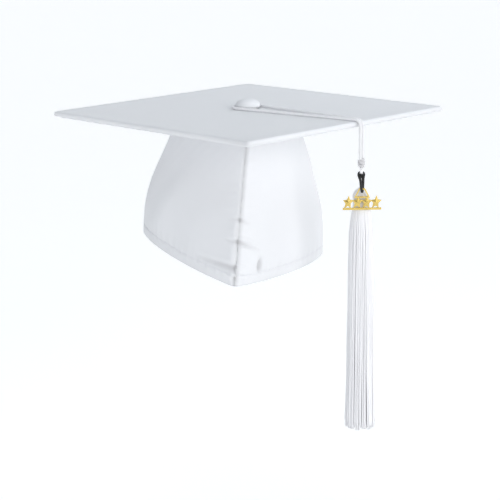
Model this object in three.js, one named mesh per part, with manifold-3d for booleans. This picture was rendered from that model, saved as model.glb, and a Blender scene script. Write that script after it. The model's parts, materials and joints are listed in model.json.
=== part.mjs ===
// A child's graduation cap: a square cloth-covered board carried corner forward on a soft skull cap,
// with a covered button at its centre and a corded tassel that hangs over the edge on the wearer's left.
// Millimetres. +Z is up, -Y is the wearer's front and +X the wearer's left.
// The origin is where the crown of the head bears: the underside of the stiffener in the skull cap.
import * as THREE from "three";
import { mergeVertices } from "three/addons/utils/BufferGeometryUtils.js";
import Module from "manifold-3d";

const wasm = await Module();
wasm.setup();

// ---- Driving dimensions ----
const FIT = 0.3; // the gap that touching pieces keep
const CLOTH = 0.8; // a layer of the board's cloth
const RIGHT_ANGLE = Math.PI / 2;

const BOARD_SIDE = 235; // over the cloth
const CORE_THICK = 2;
const BOARD_CORNER = 2.5; // the corners' radius, seen from above
const BOARD_EDGE = 1; // the rounding of the cloth over the edges
const TURN_IN = 20; // how far the top cloth is turned in under the board
const UNDER_INSET = 4; // from the board's edge to the under cover's

const CROWN_STIFFENER = 1.6;
const SKULL_SIDE_DEPTH = 112; // from the board down to the rim over the ears
const SKULL_FRONT_DROP = 16.2; // how much lower the rim is at the front point
const RIM_TILT = 0.133; // the cap sits askew: rise of the rim for each mm towards -X
const SKULL_TOP_HALF = 52.5; // half width at the crown
const SKULL_FLARE = 25.5; // how much wider it is at the rim, each side
const FLARE_LEVEL = 0.88; // the level at which it is widest
const FLARE_POWER = 1.35; // above 1, it widens more evenly on the way down
const LENGTH_RATIO = 1.16; // front to back over side to side
const OFFSET_TOP = 9.4; // how far the skull cap's middle lies towards -X, at the crown
const OFFSET_MORE = 5.1; // and how much further at the rim
const RIDGE_LEAN = 13.3; // how far the front and back seams lean over towards -X
const FOLD_INSET = 1.3; // a layer steps in this much further at the folded ends
const WIDEST_Y = 4; // the skull cap is widest this far behind the board's middle
const FRONT_BOW = { across: 1.82, along: 1.34 }; // a sharp fold in front
const BACK_BOW = { across: 1.2, along: 1.0 }; // a rounder back
const PANEL_THICK = 1.2;
const LINING_THICK = 0.9;
const BAND_THICK = 0.8;
const ELASTIC_THICK = 1;
const CASING_THICK = 0.7;
const TAPE_THICK = 0.6;

const BUTTON_NECK_R = 8;
const BUTTON_R = 10.5;
const BUTTON_CLOTH = 0.6;
const BUTTON_LIFT = 2; // from the board to the button's cloth
const SHELL_THICK = 1;
const DOME_RISE = 6;
const RIVET_R = 2;
const RIVET_HEAD = { radius: 4, thick: 0.7 };
const WASHER = { radius: 6, thick: 0.6 };

const CORD_R = 1.2;
const LOOP_R = 12.6; // the cord's slack turn round the button
const STRAND_SPLAY = 1.5; // half the distance between the two strands where they hang
const CORD_TURN = (3.2 * Math.PI) / 180; // how far the cord lies to the left of the edge's middle
const BEND_R = 4.8; // of the cord's centreline over the board's edge
const EDGE_GAP = 2.2; // between the board's edge and the hanging strands
const EDGE_REACH = BOARD_SIDE / 2 + EDGE_GAP + CORD_R; // from the button to the hanging strands

const KNOT_TOP = -20;
const KNOT_LOW = -29;
const KNOT_R = 3.2;
const SWAY_Z = -30; // the tassel sways about this height
const NECK_R = 1.4;
const HEAD_TOP = -45;
const HEAD_LOW = -55;
const HEAD_R = 7;
const BINDING_LOW = -61.5;
const BINDING_R = 6.8;
const FRINGE_LOW = -248;
const FRINGE_TOP_R = 7.4;
const FRINGE_LOW_R = 12.6;

const CHARM_THICK = 1.4;
const CHARM_FRONT = 9; // from the tassel's axis to the middle of the charm
const CHARM_LOOP_R = 0.8;
const STAR_COUNT = 4;
const STAR_PITCH = 7.4;
const STAR_R = 4.6;
const STAR_NOTCH = 0.48; // the notches between a star's points, over its radius
const STAR_STRETCH = 1.25; // the stars are taller than they are wide
const STAR_SLANT = 0.12; // and lean over
const RAIL_HIGH = 1.8;
const RAIL_HALF = 15.5;
const BAIL_TOP = -43.6;
const BAIL_TOP_HALF = 2.4;
const BAIL_LOW_HALF = 6.4;
const BAIL_BAR = 1.2;

// ---- Heights that follow from them ----
const crownClothLow = CROWN_STIFFENER + FIT;
const panelTop = CROWN_STIFFENER;
const underLow = crownClothLow + CLOTH + FIT;
const turnInLow = underLow + CLOTH + FIT;
const coreLow = turnInLow + CLOTH + FIT;
const coreTop = coreLow + CORE_THICK;
const boardTop = coreTop + FIT + CLOTH;
const cordZ = boardTop + FIT + CORD_R;
const cordAngle = CORD_TURN - Math.PI / 4; // which way the cord runs from the button
const tasselX = EDGE_REACH * Math.cos(cordAngle);
const tasselY = EDGE_REACH * Math.sin(cordAngle);

// ---- Materials ----
const finish = (color, roughness, metalness = 0) =>
  new THREE.MeshStandardMaterial({ color, roughness, metalness });
const satin = finish(0xeceef4, 0.5);
const card = finish(0xb9a888, 0.9);
const buckram = finish(0xe6e4de, 0.95);
const elastic = finish(0xf2f2f2, 0.85);
const plastic = finish(0xdcdcdc, 0.45);
const steel = finish(0xb8bcc2, 0.35, 1);
const yarn = finish(0xf1f1f5, 0.6);
const blackElastic = finish(0x14110f, 0.6);
const gold = finish(0xd9a634, 0.25, 1);

// ---- Tools ----
const named = (name, geometry, material) => {
  const mesh = new THREE.Mesh(geometry, material);
  mesh.name = name;
  return mesh;
};

function solidOf(geometry) {
  const bare = geometry.index ? geometry.toNonIndexed() : geometry.clone();
  bare.deleteAttribute("normal");
  bare.deleteAttribute("uv");
  const merged = mergeVertices(bare, 1e-4);
  return new wasm.Manifold(
    new wasm.Mesh({
      numProp: 3,
      vertProperties: merged.attributes.position.array,
      triVerts: new Uint32Array(merged.index.array),
    }),
  );
}

function geometryOf(solid) {
  const mesh = solid.getMesh();
  return new THREE.BufferGeometry()
    .setAttribute("position", new THREE.BufferAttribute(mesh.vertProperties, 3))
    .setIndex(new THREE.BufferAttribute(mesh.triVerts, 1));
}

// A lathed solid about Z from [radius, height] pairs.
const lathe = (profile, segments = 24) =>
  new THREE.LatheGeometry(
    profile.map(([r, z]) => new THREE.Vector2(r, z)),
    segments,
  ).rotateX(RIGHT_ANGLE);

// A quarter of an ellipse from the axis, at its top, out to [radius, low].
const domeArc = (radius, low, rise, steps = 8) =>
  Array.from({ length: steps + 1 }, (_, k) => {
    const angle = (k / steps) * RIGHT_ANGLE;
    return [k ? radius * Math.sin(angle) : 0, low + rise * Math.cos(angle)];
  });

function roundedSquare(side, radius) {
  const h = side / 2;
  const shape = new THREE.Shape();
  shape.moveTo(-h + radius, -h);
  shape.lineTo(h - radius, -h).absarc(h - radius, -h + radius, radius, -RIGHT_ANGLE, 0);
  shape.lineTo(h, h - radius).absarc(h - radius, h - radius, radius, 0, RIGHT_ANGLE);
  shape.lineTo(-h + radius, h).absarc(-h + radius, h - radius, radius, RIGHT_ANGLE, Math.PI);
  shape.lineTo(-h, -h + radius).absarc(-h + radius, -h + radius, radius, Math.PI, 3 * RIGHT_ANGLE);
  return shape;
}

const plate = (shape, low, thick) =>
  new THREE.ExtrudeGeometry(shape, { depth: thick, bevelEnabled: false, curveSegments: 4 })
    .translate(0, 0, low);

const disc = (radius, low, thick) =>
  new THREE.CylinderGeometry(radius, radius, thick, 24)
    .rotateX(RIGHT_ANGLE)
    .translate(0, 0, low + thick / 2);

// A closed sheet between two surfaces. Each takes (across, down) from 0 to 1: across runs
// anticlockwise seen from above and down runs from the top edge to the rim.
function thickSheet(outer, inner, across, down) {
  const points = [];
  const triangles = [];
  const row = down + 1;
  const back = (across + 1) * row;
  for (const surface of [outer, inner])
    for (let i = 0; i <= across; i++)
      for (let j = 0; j <= down; j++) points.push(...surface(i / across, j / down));
  const quad = (a, b, c, d) => triangles.push(a, b, c, a, c, d);
  const at = (i, j) => i * row + j;
  for (let i = 0; i < across; i++)
    for (let j = 0; j < down; j++) {
      quad(at(i, j), at(i, j + 1), at(i + 1, j + 1), at(i + 1, j));
      quad(back + at(i, j), back + at(i + 1, j), back + at(i + 1, j + 1), back + at(i, j + 1));
    }
  for (let i = 0; i < across; i++) {
    quad(at(i, 0), at(i + 1, 0), back + at(i + 1, 0), back + at(i, 0));
    quad(at(i, down), back + at(i, down), back + at(i + 1, down), at(i + 1, down));
  }
  for (let j = 0; j < down; j++) {
    quad(at(0, j), back + at(0, j), back + at(0, j + 1), at(0, j + 1));
    quad(at(across, j), at(across, j + 1), back + at(across, j + 1), back + at(across, j));
  }
  return new THREE.BufferGeometry()
    .setAttribute("position", new THREE.Float32BufferAttribute(points, 3))
    .setIndex(triangles);
}

// A round tube along points, with flat ends.
function tube(points, radius, steps, sides = 8) {
  const section = new THREE.Shape().absarc(0, 0, radius, 0, 2 * Math.PI);
  return new THREE.ExtrudeGeometry(section, {
    steps,
    curveSegments: sides / 2,
    extrudePath: new THREE.CatmullRomCurve3(points.map((p) => new THREE.Vector3(...p))),
  });
}

// ---- The board ----
function board() {
  const group = new THREE.Group();
  group.rotation.z = Math.PI / 4; // corner forward
  const rivetHole = solidOf(disc(RIVET_R + 2 * FIT, coreLow - CORE_THICK, 4 * CORE_THICK));
  const washerRecess = solidOf(disc(WASHER.radius + FIT, coreLow - CLOTH, CLOTH + WASHER.thick + 2 * FIT));

  const coreSide = BOARD_SIDE - 2 * (CLOTH + FIT);
  const core = solidOf(plate(roundedSquare(coreSide, BOARD_CORNER - CLOTH), coreLow, CORE_THICK))
    .subtract(rivetHole)
    .subtract(washerRecess);
  group.add(named("board_core", geometryOf(core), card));

  const wrap = new THREE.ExtrudeGeometry(roundedSquare(BOARD_SIDE - 2 * BOARD_EDGE, BOARD_CORNER), {
    depth: boardTop - turnInLow - 2 * BOARD_EDGE,
    bevelThickness: BOARD_EDGE,
    bevelSize: BOARD_EDGE,
    bevelSegments: 3,
    curveSegments: 4,
  }).translate(0, 0, turnInLow + BOARD_EDGE);
  const insideLow = turnInLow + CLOTH;
  const inside = roundedSquare(BOARD_SIDE - 2 * CLOTH, BOARD_CORNER - CLOTH);
  const openSquare = roundedSquare(BOARD_SIDE - 2 * TURN_IN, 1);
  const cover = solidOf(wrap)
    .subtract(solidOf(plate(inside, insideLow, coreTop + FIT - insideLow)))
    .subtract(solidOf(plate(openSquare, turnInLow - CLOTH, 2.5 * CLOTH)))
    .subtract(rivetHole);
  group.add(named("board_top_cover", geometryOf(cover), satin));

  const underCover = roundedSquare(BOARD_SIDE - 2 * UNDER_INSET, BOARD_CORNER);
  group.add(named("board_under_cover", plate(underCover, underLow, CLOTH), satin));
  return group;
}

// ---- The covered button and the rivet that holds it ----
function buttonCover(clothLow, domeLow) {
  const insideR = BUTTON_R - BUTTON_CLOTH;
  const tuckR = BUTTON_NECK_R + FIT;
  return lathe([
    ...domeArc(insideR, domeLow, DOME_RISE - BUTTON_CLOTH),
    [insideR, clothLow + BUTTON_CLOTH],
    [tuckR, clothLow + BUTTON_CLOTH],
    [tuckR, clothLow],
    [BUTTON_R, clothLow],
    ...domeArc(BUTTON_R, domeLow, DOME_RISE).reverse(),
  ]);
}

function buttonShell(shellR, shellRise, domeLow) {
  return lathe([
    ...domeArc(shellR - SHELL_THICK, domeLow, shellRise - SHELL_THICK),
    ...domeArc(shellR, domeLow, shellRise).reverse(),
  ]);
}

function buttonBack(low, flangeLow, flangeR, flangeTop) {
  const bore = RIVET_R + FIT;
  return lathe([
    [bore, low],
    [BUTTON_NECK_R, low],
    [BUTTON_NECK_R, flangeLow],
    [flangeR, flangeLow],
    [flangeR, flangeTop],
    [bore, flangeTop],
    [bore, low],
  ]);
}

function rivet(shankLow, shankTop) {
  return lathe([
    [0, shankLow - RIVET_HEAD.thick],
    [RIVET_HEAD.radius, shankLow - RIVET_HEAD.thick],
    [RIVET_HEAD.radius, shankLow],
    [RIVET_R, shankLow],
    [RIVET_R, shankTop],
    [RIVET_HEAD.radius, shankTop],
    [RIVET_HEAD.radius, shankTop + RIVET_HEAD.thick],
    [0, shankTop + RIVET_HEAD.thick],
  ]);
}

function washer(low) {
  const bore = RIVET_R + FIT;
  return lathe([
    [bore, low],
    [WASHER.radius, low],
    [WASHER.radius, low + WASHER.thick],
    [bore, low + WASHER.thick],
    [bore, low],
  ]);
}

function button() {
  const group = new THREE.Group();
  const clothLow = boardTop + BUTTON_LIFT;
  const domeLow = clothLow + BUTTON_CLOTH + FIT;
  const shellR = BUTTON_R - BUTTON_CLOTH - FIT;
  const shellRise = DOME_RISE - BUTTON_CLOTH - FIT;
  const flangeR = shellR - SHELL_THICK - 2 * FIT;
  const flangeTop = domeLow + SHELL_THICK;
  const shankLow = coreLow - FIT;
  group.add(named("button_shell", buttonShell(shellR, shellRise, domeLow), plastic));
  group.add(named("button_cover", buttonCover(clothLow, domeLow), satin));
  group.add(named("button_back", buttonBack(boardTop + FIT, domeLow, flangeR, flangeTop), plastic));
  group.add(named("button_rivet", rivet(shankLow, flangeTop + FIT), steel));
  group.add(named("button_washer", washer(shankLow + FIT), steel));
  return group;
}

// ---- The skull cap ----
const halfWidth = (level) =>
  SKULL_TOP_HALF +
  SKULL_FLARE * Math.sin(RIGHT_ANGLE * Math.min(1, level / FLARE_LEVEL)) ** FLARE_POWER;

// The plan of the skull cap at a level, 0 at the crown and 1 at the rim. turn runs anticlockwise
// seen from above: 0 is the front seam, 0.5 the wearer's left, 1 the back seam, 1.5 the right.
function planPoint(turn, level, inset) {
  const round = ((turn % 2) + 2) % 2;
  const side = round < 1 ? 1 : -1;
  const fromFront = round < 1 ? round : 2 - round;
  const front = fromFront < 0.5;
  const swing = (front ? fromFront : 1 - fromFront) * Math.PI;
  const bow = front ? FRONT_BOW : BACK_BOW;
  const ridgeX = -RIDGE_LEAN * level;
  const middleX = -OFFSET_TOP - OFFSET_MORE * level;
  const reach = side * (middleX - ridgeX) + halfWidth(level) - inset;
  const length = LENGTH_RATIO * halfWidth(level) - FOLD_INSET * inset;
  return [
    ridgeX + side * reach * Math.sin(swing) ** bow.across,
    WIDEST_Y + (front ? -1 : 1) * length * Math.abs(Math.cos(swing)) ** bow.along,
  ];
}

function skullPoint(turn, level, inset, push = 0) {
  const [x, y] = planPoint(turn, level, inset);
  const [rimX, rimY] = planPoint(turn, 1, 0);
  const drop = SKULL_FRONT_DROP * Math.max(0, (WIDEST_Y - rimY) / (LENGTH_RATIO * halfWidth(1)));
  const rim = underLow - SKULL_SIDE_DEPTH - drop - RIM_TILT * (rimX + OFFSET_TOP);
  return [x + push, y, panelTop + level * (rim - panelTop)];
}

// A layer of the skull cap over a range of turns and levels, from one inset to a deeper one.
function layer({ turns, levels, inset, thick, push = 0, across, down }) {
  const surface = (depth) => (u, v) =>
    skullPoint(
      turns[0] + u * (turns[1] - turns[0]),
      levels[0] + v * (levels[1] - levels[0]),
      depth,
      push,
    );
  return thickSheet(surface(inset), surface(inset + thick), across, down);
}

function crownOutline(inset, steps = 48) {
  const corner = (_, k) => new THREE.Vector2(...planPoint((2 * k) / steps, 0, inset));
  return new THREE.Shape(Array.from({ length: steps }, corner));
}

function skullCap() {
  const group = new THREE.Group();
  const liningInset = PANEL_THICK + FIT;
  const innerInset = liningInset + LINING_THICK + FIT;
  const lined = { inset: innerInset, across: 22, down: 1 };

  for (const [side, start, outward] of [["left", 0, 1], ["right", 1, -1]]) {
    const half = { turns: [start, start + 1], push: (outward * FIT) / 2 }; // the seam's gap
    const outer = { ...half, levels: [0, 1], inset: 0, thick: PANEL_THICK, across: 28, down: 9 };
    const inner = { levels: [0.01, 0.97], inset: liningInset, thick: LINING_THICK, across: 28, down: 9 };
    group.add(named("skull_panel_" + side, layer(outer), satin));
    group.add(named("lining_" + side, layer({ ...half, ...inner }), buckram));
  }
  group.add(named("crown_cloth", plate(crownOutline(0), crownClothLow, CLOTH), satin));
  const stiffener = crownOutline(innerInset + 4 * FIT);
  group.add(named("crown_stiffener", plate(stiffener, 0, CROWN_STIFFENER), buckram));

  const band = { ...lined, turns: [-0.6, 0.6], levels: [0.8, 0.96], thick: BAND_THICK, down: 2 };
  group.add(named("sweatband", layer(band), elastic));
  const rear = { ...lined, turns: [0.66, 1.34], levels: [0.88, 0.95], thick: ELASTIC_THICK };
  group.add(named("rear_elastic", layer(rear), elastic));
  const casingInset = innerInset + ELASTIC_THICK + FIT;
  const casing = { turns: [0.64, 1.36], levels: [0.86, 0.97], inset: casingInset, thick: CASING_THICK };
  group.add(named("elastic_casing", layer({ ...lined, ...casing }), satin));

  const tape = { ...lined, levels: [0.04, 0.78], thick: TAPE_THICK, across: 6, down: 6 };
  group.add(named("front_seam_tape", layer({ ...tape, turns: [-0.1, 0.1] }), elastic));
  group.add(named("back_seam_tape", layer({ ...tape, turns: [0.94, 1.06] }), elastic));
  return group;
}

// ---- The tassel's cord, in a frame with +X out over the board's edge ----
// Over the board: in from the edge, round the back of the button and out again.
function overBoardRoute(endX) {
  const straight = [0, 0.2, 0.4, 0.6, 0.8];
  const turnSteps = 12;
  const tangent = Math.acos((LOOP_R - STRAND_SPLAY) / endX); // where a strand leaves the turn
  const onTurn = (angle) => [LOOP_R * Math.cos(angle), LOOP_R * Math.sin(angle), cordZ];
  const [leaveX, leaveY] = onTurn(tangent);
  const strand = straight.map((share) => [
    endX + share * (leaveX - endX),
    STRAND_SPLAY + share * (leaveY - STRAND_SPLAY),
    cordZ,
  ]);
  const turn = Array.from({ length: turnSteps + 1 }, (_, k) =>
    onTurn(tangent + (k / turnSteps) * 2 * (Math.PI - tangent)),
  );
  const strandBack = strand.map(([x, y, z]) => [x, -y, z]).reverse();
  return [...strand, ...turn, ...strandBack];
}

function bendRoute(y, pivotX, pivotZ, steps = 6) {
  const trim = FIT / 2 / BEND_R; // half the gap to each straight stretch, as an angle
  return Array.from({ length: steps + 1 }, (_, k) => {
    const angle = trim + (k / steps) * (RIGHT_ANGLE - 2 * trim);
    return [pivotX + BEND_R * Math.sin(angle), y, pivotZ + BEND_R * Math.cos(angle)];
  });
}

function loopCord() {
  const group = new THREE.Group();
  group.rotation.z = cordAngle;
  const pivotX = EDGE_REACH - BEND_R;
  const pivotZ = cordZ - BEND_R;
  group.add(named("loop_over_board", tube(overBoardRoute(pivotX - FIT / 2), CORD_R, 60), yarn));
  for (const [name, y] of [["left", STRAND_SPLAY], ["right", -STRAND_SPLAY]]) {
    const drop = [
      [EDGE_REACH, y, pivotZ - FIT / 2],
      [EDGE_REACH, y, KNOT_TOP + FIT],
    ];
    group.add(named("loop_bend_" + name, tube(bendRoute(y, pivotX, pivotZ), CORD_R, 3), yarn));
    group.add(named("loop_drop_" + name, tube(drop, CORD_R, 5), yarn));
  }
  return group;
}

// ---- The tassel below the cord ----
function knot() {
  const middle = (KNOT_TOP + KNOT_LOW) / 2;
  const half = (KNOT_TOP - KNOT_LOW) / 2;
  const upper = domeArc(KNOT_R, middle, half, 6).reverse();
  const lower = domeArc(KNOT_R, middle, -half, 6).slice(0, -1);
  return lathe([...lower, ...upper], 16);
}

function tasselHead() {
  return lathe([
    [0, HEAD_LOW],
    [0.91 * HEAD_R, HEAD_LOW],
    [HEAD_R, HEAD_LOW + 3],
    [0.93 * HEAD_R, HEAD_LOW + 5.5],
    [0.63 * HEAD_R, HEAD_LOW + 8.5],
    [NECK_R + 2 * FIT, HEAD_TOP],
    [0, HEAD_TOP],
  ]);
}

function headBinding() {
  const top = HEAD_LOW - FIT;
  const round = 1;
  return lathe([
    [0, BINDING_LOW],
    [BINDING_R - FIT, BINDING_LOW],
    [BINDING_R, BINDING_LOW + round],
    [BINDING_R, top - round],
    [BINDING_R - FIT, top],
    [0, top],
  ]);
}

function fringe() {
  return lathe([
    [0, FRINGE_LOW],
    [FRINGE_LOW_R, FRINGE_LOW],
    [11.2, -200],
    [10.4, -140],
    [9.9, -90],
    [9.2, -70],
    [FRINGE_TOP_R, BINDING_LOW - FIT],
    [0, BINDING_LOW - FIT],
  ]);
}

function tassel() {
  const group = new THREE.Group();
  group.position.set(tasselX, tasselY, 0);
  const neckLow = HEAD_TOP + FIT;
  const neck = disc(NECK_R, neckLow, SWAY_Z - FIT - neckLow);
  const pieces = {
    loop_knot: knot(),
    tassel_neck: neck,
    tassel_head: tasselHead(),
    head_binding: headBinding(),
    fringe: fringe(),
  };
  for (const [name, geometry] of Object.entries(pieces)) group.add(named(name, geometry, yarn));
  return group;
}

// ---- The charm: four stars on a rail under a bail, on a black elastic loop ----
function starShape(x, z) {
  const points = 5;
  const shape = new THREE.Shape();
  for (let k = 0; k < 2 * points; k++) {
    const angle = RIGHT_ANGLE + (k * Math.PI) / points;
    const radius = k % 2 ? STAR_NOTCH * STAR_R : STAR_R;
    const up = STAR_STRETCH * radius * Math.sin(angle);
    shape[k ? "lineTo" : "moveTo"](x + radius * Math.cos(angle) + STAR_SLANT * up, z + up);
  }
  return shape;
}

function bailShape(low) {
  const shape = new THREE.Shape()
    .moveTo(-BAIL_LOW_HALF, low)
    .lineTo(BAIL_LOW_HALF, low)
    .lineTo(BAIL_TOP_HALF, BAIL_TOP)
    .lineTo(-BAIL_TOP_HALF, BAIL_TOP);
  const eyeLowHalf = BAIL_LOW_HALF - 1.5 * BAIL_BAR;
  const eyeTopHalf = BAIL_TOP_HALF - BAIL_BAR / 2;
  const eye = new THREE.Path()
    .moveTo(-eyeLowHalf, low + BAIL_BAR)
    .lineTo(-eyeTopHalf, BAIL_TOP - BAIL_BAR)
    .lineTo(eyeTopHalf, BAIL_TOP - BAIL_BAR)
    .lineTo(eyeLowHalf, low + BAIL_BAR);
  shape.holes.push(eye);
  return shape;
}

function charmPlate() {
  const railLow = BINDING_LOW + FIT;
  const railTop = railLow + RAIL_HIGH;
  const starMiddle = railTop - FIT + STAR_R * STAR_STRETCH * Math.cos(Math.PI / 5);
  const rail = new THREE.Shape()
    .moveTo(-RAIL_HALF, railLow)
    .lineTo(RAIL_HALF, railLow)
    .lineTo(RAIL_HALF, railTop)
    .lineTo(-RAIL_HALF, railTop);
  const upright = (shape) =>
    solidOf(
      new THREE.ExtrudeGeometry(shape, { depth: CHARM_THICK, bevelEnabled: false })
        .rotateX(RIGHT_ANGLE)
        .translate(0, -CHARM_FRONT + CHARM_THICK / 2, 0),
    );
  let metal = upright(rail).add(upright(bailShape(starMiddle + 0.8 * STAR_R)));
  for (let k = 0; k < STAR_COUNT; k++) {
    const place = (k - (STAR_COUNT - 1) / 2) * STAR_PITCH;
    metal = metal.add(upright(starShape(place, starMiddle)));
  }
  return geometryOf(metal);
}

function charm() {
  const group = new THREE.Group();
  group.position.set(tasselX, tasselY, 0);
  group.add(named("charm", charmPlate(), gold));

  // The loop's two ends meet behind the tassel's neck. It comes down each side of the neck, and
  // one side goes through the bail to meet the other in front of it.
  const loop = [
    [FIT / 2, 2.5, -32.9],
    [1.9, 1.7, -33.2],
    [2.4, -0.4, -34.6],
    [1.8, -2.8, -37.3],
    [1.1, -5, -41],
    [0.5, -6.8, -44.9],
    [0, -9, -46.4],
    [-0.3, -10.9, -45.4],
    [-0.9, -10.4, -42.9],
    [-1.3, -8, -40.2],
    [-1.8, -4.8, -37.9],
    [-2.4, -1.6, -35.4],
    [-2.3, 0.6, -33.8],
    [-1.6, 2, -33.1],
    [-FIT / 2, 2.5, -32.9],
  ];
  group.add(named("charm_loop", tube(loop, CHARM_LOOP_R, 22), blackElastic));
  return group;
}

const cap = new THREE.Group();
cap.add(board(), button(), skullCap(), loopCord(), tassel(), charm());
export default cap;
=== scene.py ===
"""The looks of a child's graduation cap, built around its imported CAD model.

Metres, in the model's frame: +Z up, -Y to the wearer's front, +X to the wearer's left.
"""

import json
import math

import bpy
import numpy as np
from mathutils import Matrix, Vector


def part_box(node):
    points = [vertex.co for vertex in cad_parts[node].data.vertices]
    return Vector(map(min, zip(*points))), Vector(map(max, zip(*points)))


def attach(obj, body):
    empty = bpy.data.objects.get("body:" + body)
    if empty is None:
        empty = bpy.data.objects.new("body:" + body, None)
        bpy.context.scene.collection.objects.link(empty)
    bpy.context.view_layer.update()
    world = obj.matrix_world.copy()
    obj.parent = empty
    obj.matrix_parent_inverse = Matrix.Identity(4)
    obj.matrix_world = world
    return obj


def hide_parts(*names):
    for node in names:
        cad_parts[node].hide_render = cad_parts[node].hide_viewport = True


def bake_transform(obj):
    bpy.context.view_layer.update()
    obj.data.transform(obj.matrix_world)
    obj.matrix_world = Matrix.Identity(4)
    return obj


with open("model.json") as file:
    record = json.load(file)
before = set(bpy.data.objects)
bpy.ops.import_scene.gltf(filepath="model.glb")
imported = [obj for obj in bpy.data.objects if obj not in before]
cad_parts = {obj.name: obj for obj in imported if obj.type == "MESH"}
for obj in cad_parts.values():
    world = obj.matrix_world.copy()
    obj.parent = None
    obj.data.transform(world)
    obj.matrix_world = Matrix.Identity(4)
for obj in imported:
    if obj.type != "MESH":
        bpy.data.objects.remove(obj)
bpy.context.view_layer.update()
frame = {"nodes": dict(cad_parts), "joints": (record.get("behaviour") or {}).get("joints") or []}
NODES = frame["nodes"]
MM = 0.001
TAU = 2 * math.pi
UV_NAME = "Cloth"  # across and along the cloth or thread, in metres
# The attribute that darkens cloth: real wear at edges and hems, and painted shade in the skull cap's seam and
# creases
WEAR_AND_SHADE_NAME = "WearAndShade"
rng = np.random.default_rng(11)


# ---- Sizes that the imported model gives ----
def heights(node):
    """A node's lowest and highest levels."""
    low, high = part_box(node)
    return low.z, high.z


BOARD_LOW, BOARD_TOP = heights("board_top_cover")
UNDER_LOW = heights("board_under_cover")[0]
KNOT_LOW, KNOT_HIGH = heights("loop_knot")
NECK_LOW, NECK_HIGH = heights("tassel_neck")
HEAD_LOW, HEAD_HIGH = heights("tassel_head")
BINDING_LOW, BINDING_HIGH = heights("head_binding")
FRINGE_LOW = heights("fringe")[0]
CHARM_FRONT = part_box("charm")[0].y
tassel_x, tassel_y = next(j["pos_m"][:2] for j in frame["joints"] if j["name"] == "tassel_twist")
TASSEL = np.array([tassel_x, tassel_y, 0.0])
EDGE_REACH = math.hypot(tassel_x, tassel_y)
CORD_ANGLE = math.atan2(tassel_y, tassel_x)

# ---- The board's sizes, as in the CAD model ----
BOARD_SIDE = 235 * MM
CORNER_TURN = math.radians(45)  # the board lies corner forward

# ---- The cord's sizes, as in the CAD model ----
CORD_R = 1.2 * MM
CORD_LIFT = 0.3 * MM
LOOP_R = 12.6 * MM
STRAND_SPLAY = 1.5 * MM
BEND_R = 4.8 * MM
CORD_Z = BOARD_TOP + CORD_LIFT + CORD_R

# ---- The cord's yarn ----
PLIES = 3
PLY_PITCH = 8 * MM  # of the plies' lobes along the cord
YARN_PITCH = 2.7 * MM  # of the finer twist in the material
CORD_SWELL = 1.06  # the cord's lobes stand out past its even radius
STRAND_IN_KNOT = 2.5 * MM
# How far from its ends, up from the knot, the cord's colour is darker
DARK_END_REACH = 26 * MM

# ---- The charm's sizes, as in the CAD model ----
STAR_COUNT = 4
STAR_POINTS = 5
STAR_PITCH = 7.4 * MM
STAR_R = 4.6 * MM
STAR_NOTCH = 0.48
STAR_STRETCH = 1.25
STAR_SLANT = 0.12
RAIL_TOP = heights("charm")[0] + 1.5 * MM  # where the stars stand in the rail


def new_object(name, data):
    obj = bpy.data.objects.new(name, data)
    bpy.context.scene.collection.objects.link(obj)
    return obj


# ---- Camera ----
def camera():
    """At the photograph's viewing angle: a little above the board, square to its front corner."""
    data = bpy.data.cameras.new("camera")
    data.lens = 104
    data.clip_start = 0.05
    obj = new_object("camera", data)
    obj.location = (0.0005, -1.219, 0.1893)
    aim = Vector((0.0, -0.01, -0.113)) - obj.location
    roll = math.radians(-0.8)
    obj.rotation_euler = aim.to_track_quat("-Z", "Y").to_euler()
    obj.rotation_euler.rotate_axis("Z", roll)
    bpy.context.scene.camera = obj


# ---- Mesh tools ----
def add_object(name, verts, faces, face_uvs=None):
    mesh = bpy.data.meshes.new(name)
    mesh.from_pydata([tuple(v) for v in verts], [], [tuple(f) for f in faces])
    if face_uvs is not None:
        layer = mesh.uv_layers.new(name=UV_NAME)
        layer.data.foreach_set("uv", np.concatenate([np.ravel(f) for f in face_uvs]).astype(np.float32))
    mesh.validate()
    mesh.polygons.foreach_set("use_smooth", [True] * len(mesh.polygons))
    return new_object(name, mesh)


def grid_object(name, points, uv, wrap=False, wear=None):
    """A sheet from a grid of points, (across, down, 3), with its UVs, (across, down, 2).

    wear, (across, down), is 0 where the cloth is clean and 1 where it is handled most; it also carries
    painted shade, laid darker into seams and creases.
    """
    across, down = points.shape[:2]
    i, j = np.meshgrid(np.arange(across if wrap else across - 1), np.arange(down - 1), indexing="ij")
    i, j = i.ravel(), j.ravel()
    after = (i + 1) % across
    faces = np.stack([i * down + j, i * down + j + 1, after * down + j + 1, after * down + j], -1)
    flat = uv.reshape(-1, 2)
    face_uvs = flat[faces]
    if wrap:
        last = after == 0
        step = flat[i[last] * down] - flat[(i[last] - 1) * down]
        for corner, k in ((2, j[last] + 1), (3, j[last])):
            face_uvs[last, corner] = flat[i[last] * down + k] + step
    obj = add_object(name, points.reshape(-1, 3), faces, face_uvs)
    if wear is not None:
        layer = obj.data.attributes.new(WEAR_AND_SHADE_NAME, "FLOAT", "POINT")
        layer.data.foreach_set("value", np.broadcast_to(wear, points.shape[:2]).ravel().astype(np.float32))
    return obj


def unit(v):
    return v / np.maximum(np.linalg.norm(v, axis=-1, keepdims=True), 1e-12)


def normals_of(points, wrap=False):
    """Outward normals of a grid whose first axis runs anticlockwise seen from above."""
    if wrap:
        across = np.roll(points, -1, 0) - np.roll(points, 1, 0)
    else:
        across = np.gradient(points, axis=0)
    down = np.gradient(points, axis=1)
    return unit(np.cross(down, across))


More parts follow.
